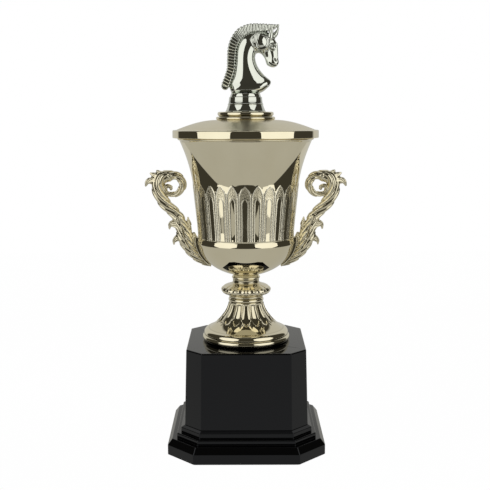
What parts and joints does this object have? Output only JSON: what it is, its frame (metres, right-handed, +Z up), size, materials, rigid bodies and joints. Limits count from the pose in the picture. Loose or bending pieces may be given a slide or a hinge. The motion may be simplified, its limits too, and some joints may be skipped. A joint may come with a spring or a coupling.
{
  "type": "lidded cup trophy",
  "caption": "Lidded two-handled cup trophy on a stepped octagonal base, with a fluted foot, leaf-band bowl, scroll handles and a horse head finial.",
  "frame": {"origin": "centre of the square base, at the underside the trophy stands on", "axes": "+Z up along the cup's axis, +X towards the right handle and the way the horse looks, -Y is the front"},
  "size_m": [0.1962, 0.15, 0.4059],
  "materials": {
    "felt": "short dense felt",
    "black_plastic": "moulded gloss black",
    "cast_iron": "as cast, rough",
    "gold_sheet": "pale gold mirror plating on spun sheet",
    "gold_casting": "pale gold mirror plating on castings",
    "silver_casting": "silvery mirror plating",
    "zinc_steel": "bright zinc"
  },
  "bodies": {
    "cup": {"base_felt": "felt", "plinth": "black_plastic", "ballast": "cast_iron", "column": "black_plastic", "tie_rod": "zinc_steel", "base_washer": "zinc_steel", "base_nut": "zinc_steel", "foot": "gold_casting", "knop": "gold_casting", "bowl": "gold_sheet", "bowl_washer": "zinc_steel", "bowl_nut": "zinc_steel", "handle_left": "gold_casting", "handle_right": "gold_casting", "handle_left_screws": "zinc_steel", "handle_right_screws": "zinc_steel", "handle_left_washers": "zinc_steel", "handle_right_washers": "zinc_steel"},
    "lid": {"lid": "gold_sheet", "locating_ring": "gold_sheet", "collar": "gold_casting"},
    "finial": {"pedestal": "silver_casting", "horse_head": "silver_casting", "finial_stud": "zinc_steel", "finial_washer": "zinc_steel", "finial_nut": "zinc_steel"}
  },
  "joints": [
    {"name": "lid_lift", "type": "slide", "parent": "cup", "child": "lid", "axis": [0, 0, 1], "range_m": [0, 0.12]},
    {"name": "finial_turn", "type": "hinge", "parent": "lid", "child": "finial", "pos_m": [0, 0, 0.3241], "axis": [0, 0, 1], "continuous": true}
  ]
}
